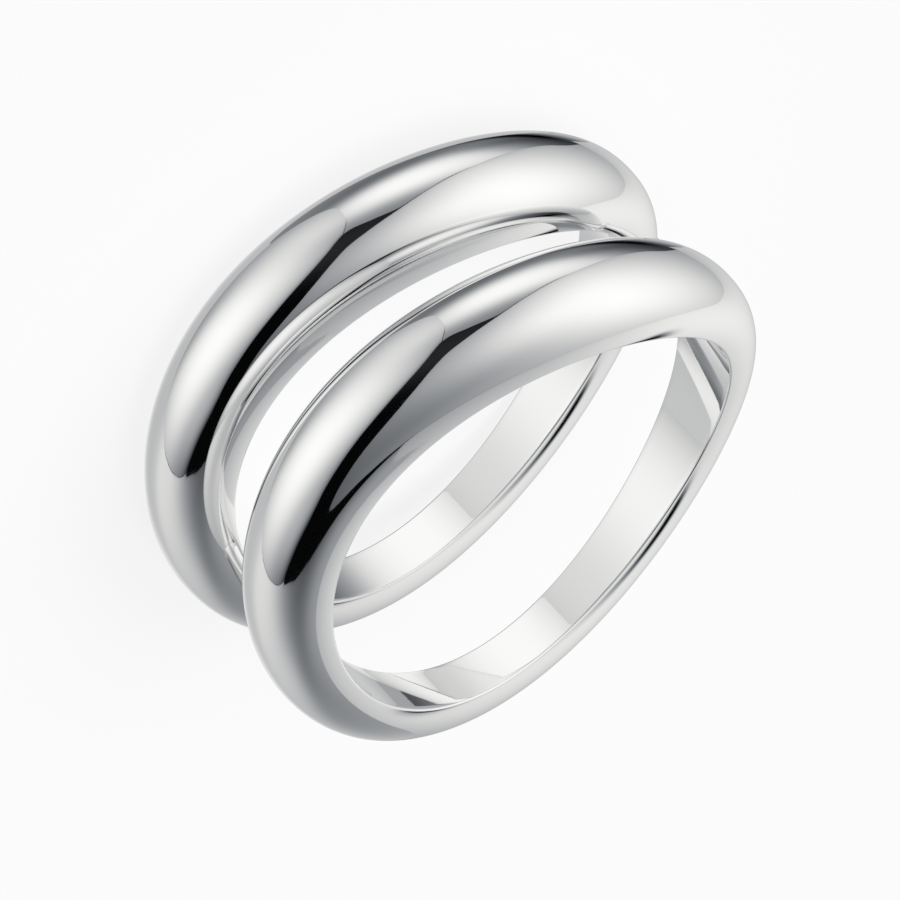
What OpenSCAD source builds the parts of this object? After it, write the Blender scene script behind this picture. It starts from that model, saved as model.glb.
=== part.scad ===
// Double band ring: two polished bands with a low domed crown and a narrow shank, one behind the
// other on one finger, held together by two small soldered posts between their shoulders.
// The hole's axis is Z, X points to the crown, and the origin is the centre of the finger hole.
// Angles are degrees round Z from the crown. Millimetres.

/* [Finger hole] */
// Inside diameter of both bands
bore_d = 17; // [15:0.1:22]

/* [Band width] */
// Width of a band at its widest place, over the crown
widest = 4.38; // [3.6:0.02:5]
// Width of a band at its narrowest place, at the shank
narrowest = 1.82; // [1.6:0.02:3]
// Direction of the widest place
widest_at = -23; // [-45:1:45]

/* [Band thickness] */
// Thickness of the metal at the crown
crown_t = 2.73; // [2:0.01:3.5]
// Thickness of the metal at the shank, opposite the crown
shank_t = 1.86; // [1.4:0.01:2.6]
// Thickness of the metal halfway between them
side_t = 2.01; // [1.4:0.01:2.6]
// Direction in which the metal is thickest
thickest_at = 13; // [-30:1:30]

/* [Section] */
// Fullness of the half-round section at the crown, where 2 is an ellipse
crown_fullness = 2.1; // [2:0.05:3]
// Fullness of the section at the shank
shank_fullness = 2.5; // [2:0.05:3]
// Small break of the edge between the hole and the outside
edge_break = 0.12; // [0.05:0.01:0.2]

/* [Wave] */
// Height of the gentle wave that the band's middle line makes twice round the finger
wave = 0.635; // [0:0.005:1]
// Direction of one crest of the wave
wave_at = -56; // [-90:1:90]
// Height by which the band leans out of its plane once round
lean = 0.345; // [0:0.005:0.6]
// Direction of the lean's high side
lean_at = 42; // [-90:1:90]

/* [Pair] */
// Distance from one band to the other along the finger
pitch = 5.92; // [5.5:0.01:7]
// Diameter of each post that joins the bands
post_d = 1.4; // [1:0.05:1.5]
// Thickness of metal between a post and the finger hole
post_inset = 0.25; // [0.2:0.01:0.4]
// Directions of the two posts, out of sight behind the front band's shoulders
left_post_at = 105; // [95:1:125]
right_post_at = -112; // [-125:1:-95]

/* [Smoothness] */
// Sections round a band
round_steps = 96; // [60:12:96]
// Steps across a section from one edge to the other
section_steps = 18; // [12:2:20]

/* [Hidden] */
bore_r = bore_d / 2;
// The blank reaches this far into the hole, and the hole is then cut true
bore_allowance = 0.4;
post_ring_r = bore_r + post_inset + post_d / 2;
metal = [0.80, 0.81, 0.82];

// Half the band's width at angle a
function half_width(a) =
    (widest + narrowest) / 4 + (widest - narrowest) / 4 * cos(a - widest_at);

// Thickness of the metal at angle a, through the crown's, sides' and shank's own
function thickness(a) =
    (crown_t + shank_t + 2 * side_t) / 4
    + (crown_t - shank_t) / 2 * cos(a - thickest_at)
    + (crown_t + shank_t - 2 * side_t) / 4 * cos(2 * a);

// Height of the band's middle line at angle a
function middle(a) = lean * cos(a - lean_at) + wave * cos(2 * (a - wave_at));

// Fullness of the section at angle a
function fullness(a) =
    shank_fullness + (crown_fullness - shank_fullness) * (1 + cos(a)) / 2;

// Section's turn at which its outside meets the edge break
function first_turn(a) = asin(pow(edge_break / thickness(a), fullness(a) / 2));

// Outside of the section at angle a and turn t, as [distance beyond the hole, height]
function outside(a, t) = [
    thickness(a) * pow(sin(t), 2 / fullness(a)),
    middle(a) + half_width(a) * sign(cos(t)) * pow(abs(cos(t)), 2 / fullness(a))
];

// Section at angle a as [distance beyond the hole, height]: the outside from the upper edge to
// the lower one, then the two edge breaks carried on past the hole's wall
function section(a) =
    let (
        t0 = first_turn(a),
        upper = outside(a, t0),
        lower = outside(a, 180 - t0),
        run = upper[0] + bore_allowance
    )
    concat(
        [[-bore_allowance, upper[1] - run]],
        [for (k = [0:section_steps]) outside(a, t0 + (180 - 2 * t0) * k / section_steps)],
        [[-bore_allowance, lower[1] + run]]
    );

// One band before its hole is cut, with its middle at height z
module band_blank(z) {
    ring = section_steps + 3;
    points = [
        for (i = [0:round_steps - 1])
            let (a = 360 * i / round_steps)
                for (p = section(a))
                    [(bore_r + p[0]) * cos(a), (bore_r + p[0]) * sin(a), z + p[1]]
    ];
    faces = [
        for (i = [0:round_steps - 1])
            for (k = [0:ring - 1])
                let (
                    here = i * ring,
                    next = (i + 1) % round_steps * ring,
                    after = (k + 1) % ring
                )
                    each [
                        [here + k, next + k, next + after],
                        [here + k, next + after, here + after]
                    ]
    ];
    polyhedron(points, faces);
}

// One post in direction a, from the middle of the back band to the middle of the front one
module shoulder_post(a) {
    rotate([0, 0, a])
        translate([post_ring_r, 0, middle(a) - pitch / 2])
            cylinder(d = post_d, h = pitch, $fn = 32);
}

// The finger hole, cut through both bands in one pass
module finger_hole() {
    cylinder(d = bore_d, h = 2 * pitch + 2 * widest, center = true, $fn = 120);
}

// Both bands and their posts, soldered into one solid
module double_band() {
    color(metal)
        difference() {
            union() {
                band_blank(pitch / 2);
                band_blank(-pitch / 2);
                shoulder_post(left_post_at);
                shoulder_post(right_post_at);
            }
            finger_hole();
        }
}

double_band();
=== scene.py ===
"""Looks of the double band ring: two mirror-polished bands lying on a pale floor in a light tent.

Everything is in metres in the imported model's frame: Z runs along the finger hole from the back band
to the front band, X points to the crown, and the origin is the centre of the hole. Angles round the
finger are measured from the crown. Sizes are given in millimetres and turned to metres once.
"""

import logging
import math
from dataclasses import dataclass, field
from enum import Enum
from typing import Any, Sequence

import bpy
import numpy as np
from mathutils import Matrix, Vector

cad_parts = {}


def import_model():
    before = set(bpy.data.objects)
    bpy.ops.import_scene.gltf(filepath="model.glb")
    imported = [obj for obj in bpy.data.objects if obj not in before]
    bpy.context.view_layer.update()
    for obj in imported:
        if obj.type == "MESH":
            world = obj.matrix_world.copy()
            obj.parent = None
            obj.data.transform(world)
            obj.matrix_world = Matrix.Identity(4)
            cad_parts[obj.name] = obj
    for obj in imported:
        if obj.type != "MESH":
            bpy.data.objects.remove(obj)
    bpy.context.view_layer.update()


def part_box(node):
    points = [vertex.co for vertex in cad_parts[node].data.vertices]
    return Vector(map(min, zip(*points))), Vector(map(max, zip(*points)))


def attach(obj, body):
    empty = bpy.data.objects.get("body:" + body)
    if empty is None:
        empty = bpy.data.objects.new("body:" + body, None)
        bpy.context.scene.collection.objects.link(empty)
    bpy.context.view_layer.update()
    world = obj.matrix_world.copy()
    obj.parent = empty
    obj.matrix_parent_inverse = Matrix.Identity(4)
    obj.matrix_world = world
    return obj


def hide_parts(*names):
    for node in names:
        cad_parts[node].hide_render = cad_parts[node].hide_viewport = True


log = logging.getLogger("double_band_ring")

MM = 0.001
NODE = "double_band"
PHOTO_PX = 900.0

Array = np.ndarray


class Shading(Enum):
    """How a mesh's faces are shaded."""

    SMOOTH = True
    FLAT = False


def linear(hex_colour: str) -> tuple[float, float, float, float]:
    """Turns an sRGB hex colour into linear values.

    Args:
        hex_colour: six hex digits after a hash sign.

    Returns:
        Linear red, green, blue and an alpha of 1.
    """
    srgb = np.array([int(hex_colour[i : i + 2], 16) for i in (1, 3, 5)]) / 255.0
    rgb = np.where(srgb <= 0.04045, srgb / 12.92, ((srgb + 0.055) / 1.055) ** 2.4)
    return (*map(float, rgb), 1.0)


def smooth_curve(at: Array, x: Sequence[float], y: Sequence[float]) -> Array:
    """Smooth curve through a few points: a cubic on each stretch, whose slope at a point is that of
    the line between the point's two neighbours.

    Args:
        at: places at which the curve is wanted.
        x: places of the points, in rising order.
        y: heights of the points.

    Returns:
        The curve's height at each place, constant beyond the ends.
    """
    xs, ys = np.asarray(x, float), np.asarray(y, float)
    slope = np.gradient(ys, xs)
    t = np.clip(at, xs[0], xs[-1])
    i = np.clip(np.searchsorted(xs, t, side="right") - 1, 0, len(xs) - 2)
    step = xs[i + 1] - xs[i]
    u = (t - xs[i]) / step
    return (
        (1 + 2 * u) * (1 - u) ** 2 * ys[i]
        + u * (1 - u) ** 2 * step * slope[i]
        + u**2 * (3 - 2 * u) * ys[i + 1]
        + u**2 * (u - 1) * step * slope[i + 1]
    )


def grid_mesh(
    name: str,
    points: Array,
    wrap_rows: bool,
    wrap_columns: bool,
    shading: Shading = Shading.SMOOTH,
) -> bpy.types.Object:
    """Makes an object from a grid of points, with a four-sided face between each four neighbours.

    Args:
        name: the object's name.
        points: metres, shaped (rows, columns, 3). A face's front is the side from which its rows
            run up when its columns run to the right.
        wrap_rows: whether the last row joins the first.
        wrap_columns: whether the last column joins the first.
        shading: smooth or flat faces.

    Returns:
        The linked object, at the world's origin.
    """
    rows, columns = points.shape[:2]
    r = np.arange(rows if wrap_rows else rows - 1)[:, None]
    c = np.arange(columns if wrap_columns else columns - 1)[None, :]
    next_r, next_c = (r + 1) % rows, (c + 1) % columns
    corners = (
        r * columns + c,
        r * columns + next_c,
        next_r * columns + next_c,
        next_r * columns + c,
    )
    filled = [np.broadcast_to(corner, (r.size, c.size)) for corner in corners]
    faces = np.stack(filled, axis=-1).reshape(-1, 4)
    mesh = bpy.data.meshes.new(name)
    mesh.vertices.add(rows * columns)
    mesh.vertices.foreach_set("co", points.reshape(-1).astype(np.float32))
    mesh.loops.add(faces.size)
    mesh.loops.foreach_set("vertex_index", faces.reshape(-1).astype(np.int32))
    mesh.polygons.add(len(faces))
    mesh.polygons.foreach_set("loop_start", np.arange(0, faces.size, 4, dtype=np.int32))
    mesh.polygons.foreach_set("use_smooth", np.full(len(faces), shading.value))
    mesh.update(calc_edges=True)
    mesh.validate()
    piece = bpy.data.objects.new(name, mesh)
    bpy.context.scene.collection.objects.link(piece)
    return piece


class NodeTree:
    """A short way to write a shader's nodes."""

    def __init__(self, owner: bpy.types.Material | bpy.types.World) -> None:
        """Empties the owner's node tree.

        Args:
            owner: the material or world that gets the nodes.
        """
        owner.use_nodes = True
        self.tree = owner.node_tree
        self.tree.nodes.clear()

    def add(
        self, kind: str, settings: dict[str, Any] | None = None, **inputs: Any
    ) -> bpy.types.Node:
        """Adds one node.

        Args:
            kind: Blender's name of the node type.
            settings: the node's own properties.
            **inputs: a value or another node's output for each input socket, where the socket's
                name is written with underscores for spaces, or as inN for the Nth socket.

        Returns:
            The new node.
        """
        node = self.tree.nodes.new(kind)
        for key, value in (settings or {}).items():
            setattr(node, key, value)
        for key, value in inputs.items():
            by_number = key.startswith("in") and key[2:].isdigit()
            socket = node.inputs[int(key[2:])] if by_number else node.inputs[key.replace("_", " ")]
            if isinstance(value, bpy.types.NodeSocket):
                self.tree.links.new(value, socket)
            else:
                socket.default_value = value
        return node


@dataclass(frozen=True)
class PolishedSilver:
    """Sterling silver, rhodium-plated and buffed to a mirror.

    To the eye it is a cool, nearly colourless mirror. The buffing leaves a faint unevenness that
    softens reflections from place to place, and handling leaves a few hairlines.
    """

    colour: str = "#F4F4F4"
    roughness_low: float = 0.02
    roughness_high: float = 0.055
    # Size of the patches that the buffing wheel leaves, in millimetres
    patch_mm: float = 2.2
    # Distance between the hairlines, about five times coarser than real ones so that they show
    hairline_mm: float = 0.35
    # Height of the unevenness, in millimetres
    ripple_mm: float = 0.0012
    # Layers of ever finer noise in the patches and the hairlines, and how strong each next one is
    patch_layers: float = 4.0
    patch_layer_share: float = 0.55
    hairline_layers: float = 2.0
    hairline_layer_share: float = 0.7
    # Product of the two noises where the metal is smoothest and where it is roughest
    smoothest_at: float = 0.12
    roughest_at: float = 0.42

    def noise(
        self,
        nodes: NodeTree,
        place: bpy.types.NodeSocket,
        size_mm: float,
        layers: float,
        layer_share: float,
    ) -> bpy.types.NodeSocket:
        """Adds a noise.

        Args:
            nodes: the material's nodes.
            place: the points that the noise is read at.
            size_mm: size of its largest patches, in millimetres.
            layers: layers of ever finer noise.
            layer_share: how strong each next layer is.

        Returns:
            The noise's value.
        """
        scale = 1 / (size_mm * MM)
        texture = nodes.add(
            "ShaderNodeTexNoise", Vector=place, Scale=scale, Detail=layers, Roughness=layer_share
        )
        return texture.outputs["Fac"]

    def material(self) -> bpy.types.Material:
        """Builds the finish.

        Returns:
            The metal's material.
        """
        material = bpy.data.materials.new("rhodium_plated_silver_buffed")
        nodes = NodeTree(material)
        place = nodes.add("ShaderNodeTexCoord").outputs["Object"]
        patches = self.noise(nodes, place, self.patch_mm, self.patch_layers, self.patch_layer_share)
        hairlines = self.noise(
            nodes, place, self.hairline_mm, self.hairline_layers, self.hairline_layer_share
        )
        mixed = nodes.add("ShaderNodeMath", {"operation": "MULTIPLY"}, in0=patches, in1=hairlines)
        roughness = nodes.add(
            "ShaderNodeMapRange",
            Value=mixed.outputs["Value"],
            From_Min=self.smoothest_at,
            From_Max=self.roughest_at,
            To_Min=self.roughness_low,
            To_Max=self.roughness_high,
        )
        ripple = nodes.add(
            "ShaderNodeBump", Height=patches, Distance=self.ripple_mm * MM, Strength=1.0
        )
        metal = nodes.add(
            "ShaderNodeBsdfPrincipled",
            Base_Color=linear(self.colour),
            Metallic=1.0,
            Roughness=roughness.outputs["Result"],
            Normal=ripple.outputs["Normal"],
        )
        nodes.add("ShaderNodeOutputMaterial", Surface=metal.outputs["BSDF"])
        return material


@dataclass(frozen=True)
class OpalAcrylic:
    """Matt opal acrylic of a photo table, lit from below. To the eye it is an even, soft white."""

    colour: str = "#F4F4F4"
    roughness: float = 0.4
    light_colour: str = "#FFFFFF"
    # Share of the light that comes from below, so that shadows on the sheet stay faint
    lit_share: float = 0.86
    glow: float = 0.98

    def material(self) -> bpy.types.Material:
        """Builds the finish.

        Returns:
            The table's material.
        """
        material = bpy.data.materials.new("matt_opal_acrylic_lit_from_below")
        nodes = NodeTree(material)
        matt = nodes.add(
            "ShaderNodeBsdfDiffuse", Color=linear(self.colour), Roughness=self.roughness
        )
        below = nodes.add(
            "ShaderNodeEmission", Color=linear(self.light_colour), Strength=self.glow
        )
        both = nodes.add(
            "ShaderNodeMixShader",
            in0=self.lit_share,
            in1=matt.outputs["BSDF"],
            in2=below.outputs["Emission"],
        )
        nodes.add("ShaderNodeOutputMaterial", Surface=both.outputs["Shader"])
        material.cycles.emission_sampling = "NONE"
        return material


@dataclass(frozen=True)
class LitCloth:
    """White diffusion cloth lit from behind. To the eye it glows, most where the lamp stands, and
    it looks a little bluer where it is dim."""

    dim: str = "#EEF5FF"
    bright: str = "#FFFFFE"
    # Light from which on the cloth has its bright colour
    bright_from: float = 0.7

    def material(self) -> bpy.types.Material:
        """Builds the finish, which glows by the sheet's own glow attribute.

        Returns:
            The cloth's material.
        """
        material = bpy.data.materials.new("lit_diffusion_cloth")
        nodes = NodeTree(material)
        glow = nodes.add(
            "ShaderNodeAttribute", {"attribute_type": "GEOMETRY", "attribute_name": "glow"}
        )
        share = nodes.add(
            "ShaderNodeMapRange", Value=glow.outputs["Fac"], From_Min=0.0, From_Max=self.bright_from
        )
        tint = nodes.add(
            "ShaderNodeMix",
            {"data_type": "RGBA"},
            in0=share.outputs["Result"],
            in6=linear(self.dim),
            in7=linear(self.bright),
        )
        light = nodes.add("ShaderNodeEmission", Color=tint.outputs[2], Strength=glow.outputs["Fac"])
        nodes.add("ShaderNodeOutputMaterial", Surface=light.outputs["Emission"])
        # The metal finds the cloths by its reflections alone, which is quicker
        material.cycles.emission_sampling = "NONE"
        return material


@dataclass(frozen=True)
class BandForm:
    """Form of one band, in millimetres and degrees, as a function of the angle from the crown."""

    bore_radius: float = 8.5
    widest: float = 4.38
    narrowest: float = 1.82
    widest_at: float = -23.0
    crown_thickness: float = 2.73
    shank_thickness: float = 1.86
    side_thickness: float = 2.01
    thickest_at: float = 13.0
    crown_fullness: float = 2.1
    shank_fullness: float = 2.5
    wave: float = 0.635
    wave_at: float = -56.0
    lean: float = 0.345
    lean_at: float = 42.0
    # Distance from the hole at which the outside gives way to the rim's round
    rim_round: float = 0.07
    # How far the outside's points are drawn towards the rims, where the section bends most
    rim_draw: float = 0.1
    # Half of the small turn over which the outside's slope is measured, in radians
    slope_turn: float = 1e-4

    def half_width(self, a: Array) -> Array:
        """Half the band's width: a mean plus a cosine that peaks at the widest place."""
        swing = (self.widest - self.narrowest) / 4
        return (self.widest + self.narrowest) / 4 + swing * np.cos(a - math.radians(self.widest_at))

    def thickness(self, a: Array) -> Array:
        """Thickness of the metal: a mean plus cosines of the angle and of twice the angle."""
        crown, shank, side = self.crown_thickness, self.shank_thickness, self.side_thickness
        once = (crown - shank) / 2 * np.cos(a - math.radians(self.thickest_at))
        twice = (crown + shank - 2 * side) / 4 * np.cos(2 * a)
        return (crown + shank + 2 * side) / 4 + once + twice

    def middle(self, a: Array) -> Array:
        """Height of the middle line: one lean and two waves on the way round."""
        lean = self.lean * np.cos(a - math.radians(self.lean_at))
        return lean + self.wave * np.cos(2 * (a - math.radians(self.wave_at)))

    def fullness(self, a: Array) -> Array:
        """Power of the section's curve: the crown's and the shank's, blended by a cosine."""
        change = self.crown_fullness - self.shank_fullness
        return self.shank_fullness + change * (1 + np.cos(a)) / 2

    def outside(self, a: Array, turn: Array) -> tuple[Array, Array]:
        """Outside of the section, a half superellipse: the distance beyond the hole is the
        thickness times a power of the turn's sine, and the height is half the width times a power
        of its cosine.

        Args:
            a: angles round the finger, in radians.
            turn: places on the section, from 0 at the upper edge to pi at the lower one.

        Returns:
            Distance beyond the hole's wall, and height, in millimetres.
        """
        power = 2 / self.fullness(a)
        beyond = self.thickness(a) * np.sin(turn) ** power
        height = self.half_width(a) * np.sign(np.cos(turn)) * np.abs(np.cos(turn)) ** power
        return beyond, self.middle(a) + height

    def first_turn(self, a: Array) -> Array:
        """Turn at which the outside is as far from the hole as the rim's round reaches."""
        return np.arcsin((self.rim_round / self.thickness(a)) ** (self.fullness(a) / 2))

    def rim(self, a: Array, upper: bool, steps: int) -> tuple[Array, Array]:
        """Round between the outside and the hole's wall: an arc that touches both.

        Args:
            a: angles round the finger, as a column.
            upper: whether it is the rim on the front side of the band.
            steps: points along the arc.

        Returns:
            Distance beyond the hole's wall and height of the arc's points, from the hole's wall to
            the outside.
        """
        sign = 1.0 if upper else -1.0
        turn = self.first_turn(a) if upper else math.pi - self.first_turn(a)
        x0, z0 = self.outside(a, turn - self.slope_turn)
        x1, z1 = self.outside(a, turn + self.slope_turn)
        length = np.hypot(x1 - x0, z1 - z0)
        normal_x, normal_z = -(z1 - z0) / length, (x1 - x0) / length
        beyond, height = self.outside(a, turn)
        radius = beyond / (1 + normal_x)
        centre_z = height - radius * normal_z
        end = np.arctan2(normal_z * sign, normal_x)
        swing = math.pi + (end - math.pi) * np.linspace(0, 1, steps)[None, :]
        return radius * (1 + np.cos(swing)), centre_z + sign * radius * np.sin(swing)

    def section(
        self, a: Array, across: int, rim_steps: int, wall_steps: int
    ) -> tuple[Array, Array]:
        """Whole closed section at each angle: the outside from the upper rim to the lower one, the
        lower rim's round, the hole's wall and the upper rim's round.

        Args:
            a: angles round the finger, as a column.
            across: points on the outside.
            rim_steps: points on each rim's round.
            wall_steps: points on the hole's wall.

        Returns:
            Distance beyond the hole's wall and height, each shaped (angles, points).
        """
        first = self.first_turn(a)
        share = np.linspace(0, 1, across)
        share = share - self.rim_draw * np.sin(2 * math.pi * share) / (2 * math.pi)
        outside = self.outside(a, first + (math.pi - 2 * first) * share[None, :])
        low_x, low_z = self.rim(a, False, rim_steps)
        top_x, top_z = self.rim(a, True, rim_steps)
        rise = np.linspace(0, 1, wall_steps + 2)[None, 1:-1]
        wall_z = low_z[:, :1] + (top_z[:, :1] - low_z[:, :1]) * rise
        beyond = [outside[0], low_x[:, -2::-1], np.zeros_like(wall_z), top_x[:, :-1]]
        height = [outside[1], low_z[:, -2::-1], wall_z, top_z[:, :-1]]
        return np.concatenate(beyond, axis=1), np.concatenate(height, axis=1)


@dataclass
class Band:
    """One band of the ring."""

    name: str
    height: float
    form: BandForm = field(default_factory=BandForm)
    steps_round: int = 640
    steps_across: int = 96
    steps_rim: int = 12
    steps_wall: int = 12

    def build(self, finish: bpy.types.Material) -> bpy.types.Object:
        """Builds the band as a section carried round the finger.

        Args:
            finish: the metal.

        Returns:
            The band.
        """
        a = np.linspace(0, 2 * math.pi, self.steps_round, endpoint=False)[:, None]
        beyond, z = self.form.section(a, self.steps_across, self.steps_rim, self.steps_wall)
        r = self.form.bore_radius + beyond
        points = np.stack([r * np.cos(a), r * np.sin(a), z + self.height], axis=-1) * MM
        band = grid_mesh(self.name, points, wrap_rows=True, wrap_columns=True)
        band.data.materials.append(finish)
        return band


@dataclass
class ShoulderPost:
    """Small post between the bands behind one of the front band's shoulders, with solder at its
    feet."""

    name: str
    direction: float
    pitch: float
    form: BandForm = field(default_factory=BandForm)
    diameter: float = 1.4
    inset: float = 0.25
    # How far the solder creeps out over the bands, and how far along the post
    solder_reach: float = 0.10
    solder_rise: float = 0.15
    # Share of a band's half width at which the solder's curve starts
    solder_from: float = 0.9
    # Width of the two ends inside the bands, as a share of the post's
    end_share: float = 0.001
    steps_round: int = 64
    steps_along: int = 60

    def build(self, finish: bpy.types.Material) -> bpy.types.Object:
        """Builds the post as a circle carried from the back band's middle to the front band's. Its
        radius grows near each band's edge as the solder's curve falls off, by an exponential.

        Args:
            finish: the metal.

        Returns:
            The post.
        """
        a = math.radians(self.direction)
        middle = float(self.form.middle(np.array(a)))
        edge = float(self.form.half_width(np.array(a))) * self.solder_from
        low, high = middle - self.pitch / 2, middle + self.pitch / 2
        z = np.linspace(low, high, self.steps_along)[:, None]
        from_edge = np.maximum(np.minimum(z - (low + edge), (high - edge) - z), 0.0)
        radius = self.diameter / 2 + self.solder_reach * np.exp(-from_edge / self.solder_rise)
        is_end = np.arange(self.steps_along) % (self.steps_along - 1) == 0
        radius = radius * np.where(is_end, self.end_share, 1.0)[:, None]
        turn = np.linspace(0, 2 * math.pi, self.steps_round, endpoint=False)[None, :]
        centre = self.form.bore_radius + self.inset + self.diameter / 2
        x = centre * math.cos(a) + radius * np.cos(turn)
        y = centre * math.sin(a) + radius * np.sin(turn)
        points = np.stack([x, y, np.broadcast_to(z, x.shape)], axis=-1) * MM
        post = grid_mesh(self.name, points, wrap_rows=False, wrap_columns=True)
        post.data.materials.append(finish)
        return post


@dataclass
class DoubleBandRing:
    """The whole ring: two bands and the two posts that join them."""

    pitch: float = 5.92
    left_post_at: float = 105.0
    right_post_at: float = -112.0
    finish: PolishedSilver = field(default_factory=PolishedSilver)

    def build(self) -> list[bpy.types.Object]:
        """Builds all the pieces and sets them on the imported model.

        Returns:
            The ring's pieces.
        """
        metal = self.finish.material()
        parts = [
            Band("front_band", self.pitch / 2),
            Band("back_band", -self.pitch / 2),
            ShoulderPost("left_shoulder_post", self.left_post_at, self.pitch),
            ShoulderPost("right_shoulder_post", self.right_post_at, self.pitch),
        ]
        pieces = []
        for part in parts:
            piece = part.build(metal)
            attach(piece, "root")
            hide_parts(NODE)
            log.info("%s: %d faces", piece.name, len(piece.data.polygons))
            pieces.append(piece)
        return pieces


@dataclass
class Floor:
    """Plain pale floor under the ring."""

    height_m: float
    half_side_m: float = 12.0

    def build(self) -> bpy.types.Object:
        """Builds the floor as a flat square grid.

        Returns:
            The floor.
        """
        side = np.linspace(-self.half_side_m, self.half_side_m, 3)
        y, x = np.meshgrid(side, side, indexing="ij")
        points = np.stack([x, y, np.full_like(x, self.height_m)], axis=-1)
        floor = grid_mesh(
            "floor", points, wrap_rows=False, wrap_columns=False, shading=Shading.FLAT
        )
        floor.data.materials.append(OpalAcrylic().material())
        # The ring mirrors the tent on all sides, as if the floor's own light were the tent's
        floor.visible_glossy = False
        floor.visible_shadow = False
        return floor


def direction(azimuth: Array | float, elevation: Array | float) -> Array:
    """Unit vectors at azimuths from the crown's side and elevations above the floor, in degrees."""
    a, e = np.radians(azimuth), np.radians(elevation)
    return np.stack([np.cos(e) * np.cos(a), np.cos(e) * np.sin(a), np.sin(e) + 0 * a], axis=-1)


@dataclass(frozen=True)
class Lamp:
    """Lamp behind a cloth or, with a negative strength, a flag that shades it.

    Its place and its reach on each side are in degrees, its strength is linear light.
    """

    azimuth: float
    elevation: float
    strength: float
    left: float
    right: float
    up: float
    down: float
    # Above 1, so that the bell is flatter on top and ends sooner than a normal distribution's
    bell_power: float = 1.25

    def light(self, directions: Array) -> Array:
        """Light in each direction: a bell of the angle from the lamp's middle, measured in shares
        of the lamp's reach on that side.

        Args:
            directions: unit vectors, shaped (rows, columns, 3).

        Returns:
            Linear light, shaped (rows, columns).
        """
        middle = direction(self.azimuth, self.elevation)
        side = direction(self.azimuth + 90.0, 0.0)
        top = np.cross(middle, side)
        angle = np.degrees(np.arccos(np.clip(directions @ middle, -1, 1)))
        x, y = directions @ side, directions @ top
        length = np.maximum(np.hypot(x, y), 1e-9)
        across = angle * x / length / np.where(x > 0, self.left, self.right)
        upward = angle * y / length / np.where(y > 0, self.up, self.down)
        return self.strength * np.exp(-((across**2 + upward**2) ** self.bell_power))


@dataclass(frozen=True)
class Cloth:
    """One lit cloth of the tent, with the light that comes through it away from its lamps."""

    name: str
    base: float
    lamps: tuple[Lamp, ...]
    # Share of the light lost at the edge along the black gap, and degrees over which it comes back
    hem: float = 0.0
    hem_reach: float = 3.0
    radius_m: float = 1.0
    # Light that is left where flags shade the cloth fully
    least_light: float = 0.001

    def hang(
        self, azimuth: Array, elevation: Array, from_gap: Array, finish: bpy.types.Material
    ) -> bpy.types.Object:
        """Makes the cloth from the directions of its points.

        Args:
            azimuth: degrees, shaped (rows, columns).
            elevation: degrees, shaped like azimuth.
            from_gap: degrees from the edge along the black gap, shaped like azimuth.
            finish: the lit cloth's material.

        Returns:
            The cloth, which only the metal's reflections see.
        """
        directions = direction(azimuth, elevation)
        light = self.base + sum(lamp.light(directions) for lamp in self.lamps)
        light = light * (1 - self.hem * np.exp(-from_gap / self.hem_reach))
        points = directions * self.radius_m
        cloth = grid_mesh(self.name, points, wrap_rows=False, wrap_columns=False)
        glow = np.maximum(light, self.least_light).reshape(-1).astype(np.float32)
        cloth.data.attributes.new("glow", "FLOAT", "POINT").data.foreach_set("value", glow)
        cloth.data.materials.append(finish)
        cloth.visible_camera = False
        cloth.visible_diffuse = False
        cloth.visible_shadow = False
        return cloth


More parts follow.
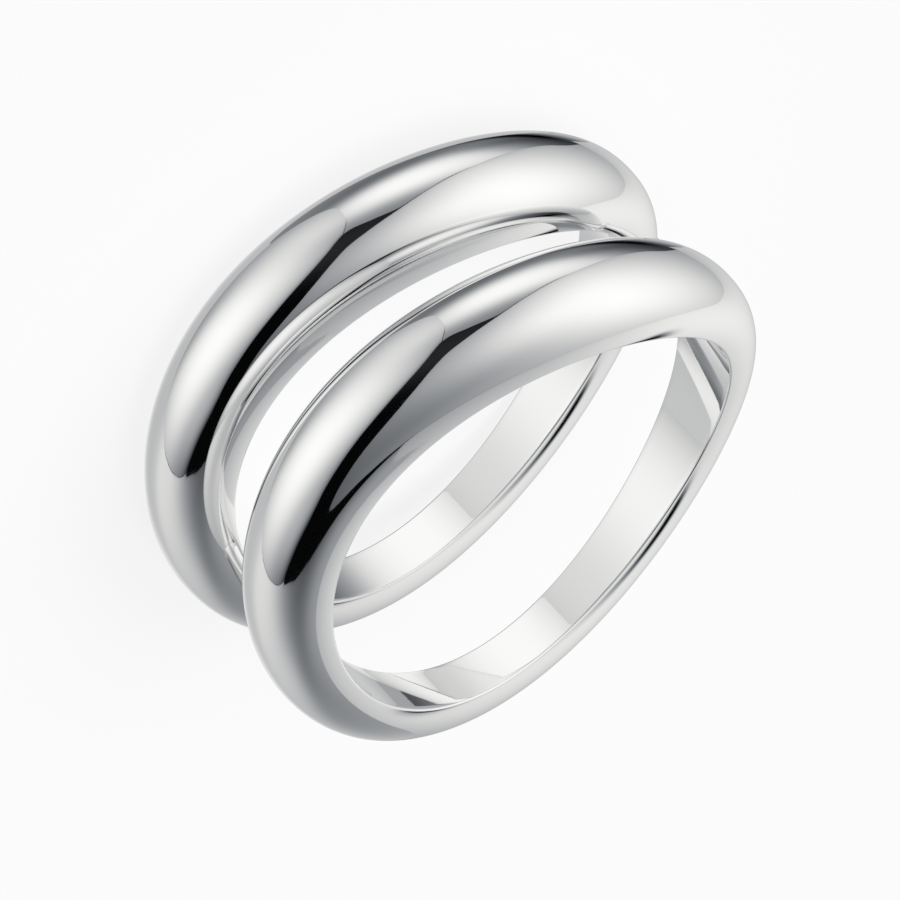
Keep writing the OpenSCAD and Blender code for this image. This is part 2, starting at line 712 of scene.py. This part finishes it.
@dataclass
class LightTent:
    """Tent of lit cloths round the ring, with one black gap that draws the dark streaks in the
    metal.

    A direction is an azimuth from the crown's side and an elevation above the floor, in degrees.
    The cloths meet at seams, each given by a few points.
    """

    steps_down: int = 101
    steps_along: int = 301
    # Above 1, so that the rows of points crowd towards the gap's edge
    row_power: float = 1.6
    # Width of the seams between the side cloths, the elevation below which these touch, and the
    # degrees over which the seams open above it
    seam: float = 0.3
    seam_closed: float = -25.0
    seam_opening: float = 15.0
    # Elevation that the search for a side cloth's upper edge starts from, and its rounds
    edge_guess: float = 20.0
    edge_rounds: int = 30
    # Lower edge of the overhead cloth, which is the upper side of the black gap
    gap_top: tuple[tuple[float, float], ...] = (
        (-180, -35.6), (-142, -34.1), (-125, -31.8), (-114, -31.6), (-103, -30.1), (-90, -26.6),
        (-75, -19.5), (-60, -10.5), (-45, 2.7), (-35, 12.4), (-20, 23.5), (-10, 30.1), (0, 40.2),
        (10, 49), (20, 55), (30, 59.1), (45, 62.3), (60, 63.3), (78, 62.8), (90, 62.1), (105, 60.4),
        (120, 59.2), (128, 60), (136, 61), (142, 61), (148, 61), (152, 60.5), (156, 59.4),
        (165, 57), (180, 52),
    )
    # Upper edge of the side cloths, which is the lower side of the black gap
    gap_bottom: tuple[tuple[float, float], ...] = (
        (-180, -35.5), (-142, -34), (-125, -31.7), (-114, -31.5), (-103, -30), (-90, -26.5),
        (-75, -19.5), (-60, -11.4), (-45, 1.7), (-35, 9.8), (-25, 7), (-15, 2.6), (-10, 8.9),
        (-5, 16.7), (0, 23.2), (10, 32.3), (20, 38.4), (30, 42.8), (45, 46.6), (60, 48.9),
        (75, 49.7), (86, 50), (95, 48), (99, 44.6), (103, 38.4), (105.5, 37.3), (107.5, 39),
        (112, 43), (120, 47.3), (130, 51.6), (136, 53), (142, 54.6), (148, 57.2), (152, 58.9),
        (156, 59.5), (165, 57.1), (180, 52.1),
    )
    # Seams between the side cloths, as azimuth against elevation
    left_seam: tuple[tuple[float, float], ...] = (
        (-90, 83), (-50, 84.5), (-20, 87.5), (0, 90.3), (20, 96), (38, 104.5), (60, 112),
    )
    right_seam: tuple[tuple[float, float], ...] = (
        (-90, -40), (-60, -33), (-40, -26), (-20, -21), (-10, -18), (0, -15), (20, -12),
    )
    # Seam behind the rear cloth, where low down the left cloth reaches round to the right
    back_seam: tuple[tuple[float, float], ...] = (
        (-90, 184), (-83, 185), (-76, 200), (-69, 219), (-62, 230), (-56, 227), (-50, 221),
        (-45, 213), (-40, 198), (-37, 186), (-34, 180), (-32, 180), (-30, 180), (90, 180),
    )
    # Sides of the rear cloth, which hangs in front of its neighbours
    rear_left: tuple[tuple[float, float], ...] = (
        (-36, -140), (-10, -142), (0, -143), (12, -146), (22, -148), (32, -151), (41, -156),
        (48, -163), (53, -172), (55, -180), (57, -190), (60, -207),
    )
    rear_right: tuple[tuple[float, float], ...] = (
        (-36, -190), (0, -190), (20, -189), (30, -190), (38, -192), (45, -195), (51, -200),
        (60, -208),
    )
    overhead: Cloth = Cloth(
        "overhead_cloth",
        0.33,
        (Lamp(-80, 42, 0.79, 40, 70, 48, 68), Lamp(108, 55, -0.22, 27, 35, 70, 15)),
        hem=0.16,
        hem_reach=2.5,
        radius_m=0.992,
    )
    left: Cloth = Cloth(
        "left_cloth",
        0.55,
        (
            Lamp(89, -11, 0.22, 41, 60, 45, 19),
            Lamp(127, 57, -0.45, 19, 70, 12, 24),
            Lamp(154, 30, -0.27, 27, 13, 20, 30),
            Lamp(168, -33, 0.25, 20, 20, 13, 25),
        ),
        hem=0.3,
        hem_reach=1.5,
    )
    middle: Cloth = Cloth(
        "middle_cloth",
        0.0,
        (
            Lamp(43, -12, 1.08, 54, 57, 57, 53),
            Lamp(-32, -37, 0.43, 27, 10, 31, 76),
            Lamp(103, 57, -0.28, 12, 10, 60, 19),
            Lamp(84, 41, 0.13, 14, 14, 10, 14),
        ),
        hem=0.7,
        hem_reach=2.6,
    )
    right: Cloth = Cloth(
        "right_cloth",
        0.25,
        (
            Lamp(-50, -33, 0.80, 33, 44, 25, 23),
            Lamp(-101, -39, -0.21, 12, 90, 12, 10),
            Lamp(-135, -48, -0.20, 7, 7, 9, 10),
            Lamp(-166, -41, 0.30, 14, 20, 9, 9),
            Lamp(-80, -66, -0.10, 40, 30, 14, 14),
        ),
    )
    rear: Cloth = Cloth(
        "rear_cloth",
        0.32,
        (Lamp(-160, 20, 0.60, 30, 29, 40, 60), Lamp(-176.5, 28.2, -0.95, 5, 4, 2.4, 4.2)),
        radius_m=0.985,
    )
    # Dark wall behind the gap, which some stray light reaches on the left
    wall: Cloth = Cloth(
        "wall_behind_the_gap", 0.002, (Lamp(-6, 22, 0.02, 16, 45, 30, 30),), radius_m=1.03
    )
    # The wall's span, as azimuths from left to right and elevations from its foot up
    wall_azimuths: tuple[float, float] = (170.0, -50.0)
    wall_elevations: tuple[float, float] = (-15.0, 70.0)

    def build(self) -> list[bpy.types.Object]:
        """Hangs the cloths.

        Returns:
            The cloths.
        """
        finish = LitCloth().material()
        even = np.linspace(0, 1, self.steps_down)[:, None]
        v = even**self.row_power
        u = np.linspace(0, 1, self.steps_along)[None, :]
        azimuth = 180 - 360 * u + 0 * v
        low = smooth_curve(azimuth, *zip(*self.gap_top))
        made = [self.overhead.hang(azimuth, low + (90 - low) * v, (90 - low) * v, finish)]
        lowest, highest = self.rear_left[0][0], self.rear_left[-1][0]
        elevation = lowest + (highest - lowest) * even + 0 * u
        start = smooth_curve(elevation, *zip(*self.rear_left))
        stop = smooth_curve(elevation, *zip(*self.rear_right))
        azimuth = start + (stop - start) * u
        made.append(self.rear.hang(azimuth, elevation, elevation - lowest, finish))
        sides = (
            (self.left, self.back_seam, self.left_seam),
            (self.middle, self.left_seam, self.right_seam),
            (self.right, self.right_seam, tuple((e, a - 360) for e, a in self.back_seam)),
        )
        for cloth, start_seam, stop_seam in sides:
            made.append(cloth.hang(*self.side_cloth(u, v, start_seam, stop_seam), finish))
        (start, stop), (foot, head) = self.wall_azimuths, self.wall_elevations
        azimuth, rise = start + (stop - start) * u + 0 * v, (head - foot) * v + 0 * u
        made.append(self.wall.hang(azimuth, foot + rise, rise, finish))
        return made

    def side_cloth(
        self,
        u: Array,
        v: Array,
        start_seam: Sequence[tuple[float, float]],
        stop_seam: Sequence[tuple[float, float]],
    ) -> tuple[Array, Array, Array]:
        """Directions of a cloth between two seams, from the black gap's lower side to straight
        down. The upper edge is found in rounds, each of which moves it half the way to the gap's
        height at the edge's own place.

        Args:
            u: share of the way from one seam to the other, as a row.
            v: share of the way down, as a column.
            start_seam: seam at u = 0, as azimuth against elevation.
            stop_seam: seam at u = 1.

        Returns:
            Azimuth, elevation and distance from the upper edge, in degrees.
        """
        top = np.full_like(u, self.edge_guess)
        for _ in range(self.edge_rounds):
            first = smooth_curve(top, *zip(*start_seam))
            across = first + (smooth_curve(top, *zip(*stop_seam)) - first) * u
            top = (top + smooth_curve(across, *zip(*self.gap_bottom))) / 2
        elevation = top + (-90 - top) * v
        first = smooth_curve(elevation, *zip(*start_seam))
        last = smooth_curve(elevation, *zip(*stop_seam))
        seam = self.seam * np.clip((elevation - self.seam_closed) / self.seam_opening, 0, 1)
        share = seam / 2 / np.maximum(np.abs(last - first), 1.0)
        return first + (last - first) * (share + (1 - 2 * share) * u), elevation, (top + 90) * v


@dataclass
class FloorLight:
    """Large soft lamp overhead that lights the floor alone, so that the metal shows only the
    tent."""

    elevation: float = 70.0
    azimuth: float = -60.0
    softness: float = 70.0
    strength: float = 3.2

    def build(self) -> bpy.types.Object:
        """Sets up the lamp.

        Returns:
            The lamp.
        """
        data = bpy.data.lights.new("overhead_lamp", "SUN")
        data.energy = self.strength
        data.angle = math.radians(self.softness)
        lamp = bpy.data.objects.new("overhead_lamp", data)
        e, a = math.radians(self.elevation), math.radians(self.azimuth)
        towards = Vector((math.cos(e) * math.cos(a), math.cos(e) * math.sin(a), math.sin(e)))
        lamp.rotation_euler = towards.to_track_quat("Z", "Y").to_euler()
        lamp.visible_glossy = False
        bpy.context.scene.collection.objects.link(lamp)
        return lamp


@dataclass
class PhotoCamera:
    """Camera with the photo's view: far away, on the crown's side and rolled."""

    elevation: float = 32.36
    roll: float = 137.43
    distance_m: float = 0.9
    sensor_mm: float = 36.0
    clip_m: tuple[float, float] = (0.01, 100.0)
    # Place of the front band's centre in the photo, and pixels to a millimetre there
    front_centre_px: tuple[float, float] = (510.9, 485.7)
    px_per_mm: float = 29.062
    front_centre_height: float = 2.96

    def build(self) -> bpy.types.Object:
        """Sets up the camera.

        Returns:
            The scene's camera.
        """
        e, roll = math.radians(self.elevation), math.radians(self.roll)
        towards = Vector((math.cos(e), 0.0, math.sin(e)))
        level, upright = Vector((0.0, 1.0, 0.0)), Vector((-math.sin(e), 0.0, math.cos(e)))
        right = level * math.cos(roll) + upright * math.sin(roll)
        up = upright * math.cos(roll) - level * math.sin(roll)
        from_middle = [(c - PHOTO_PX / 2) / self.px_per_mm * MM for c in self.front_centre_px]
        front_centre = Vector((0.0, 0.0, self.front_centre_height * MM))
        aim = front_centre - right * from_middle[0] + up * from_middle[1]
        data = bpy.data.cameras.new("photo_camera")
        data.sensor_width = self.sensor_mm
        data.lens = self.sensor_mm * self.distance_m / (PHOTO_PX / self.px_per_mm * MM)
        data.clip_start, data.clip_end = self.clip_m
        camera = bpy.data.objects.new("photo_camera", data)
        turn = Matrix((right, up, towards)).transposed().to_4x4()
        camera.matrix_world = Matrix.Translation(aim + towards * self.distance_m) @ turn
        bpy.context.scene.collection.objects.link(camera)
        bpy.context.scene.camera = camera
        return camera


def dark_world() -> None:
    """Makes the surroundings black, so that the tent's gap is."""
    world = bpy.data.worlds.new("dark_studio")
    nodes = NodeTree(world)
    black = nodes.add("ShaderNodeBackground", Color=linear("#040609"), Strength=1.0)
    nodes.add("ShaderNodeOutputWorld", Surface=black.outputs["Background"])
    bpy.context.scene.world = world
    bpy.context.scene.view_settings.view_transform = "Standard"


def main() -> None:
    logging.basicConfig(level=logging.INFO, format="%(name)s: %(message)s")
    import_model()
    lowest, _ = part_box(NODE)
    DoubleBandRing().build()
    floor = Floor(height_m=float(lowest[2])).build()
    log.info("%s at %.4f m", floor.name, float(lowest[2]))
    for cloth in LightTent().build():
        log.info("%s: %d faces", cloth.name, len(cloth.data.polygons))
    log.info("%s", FloorLight().build().name)
    log.info("%s", PhotoCamera().build().name)
    dark_world()


if __name__ == "__main__":
    main()
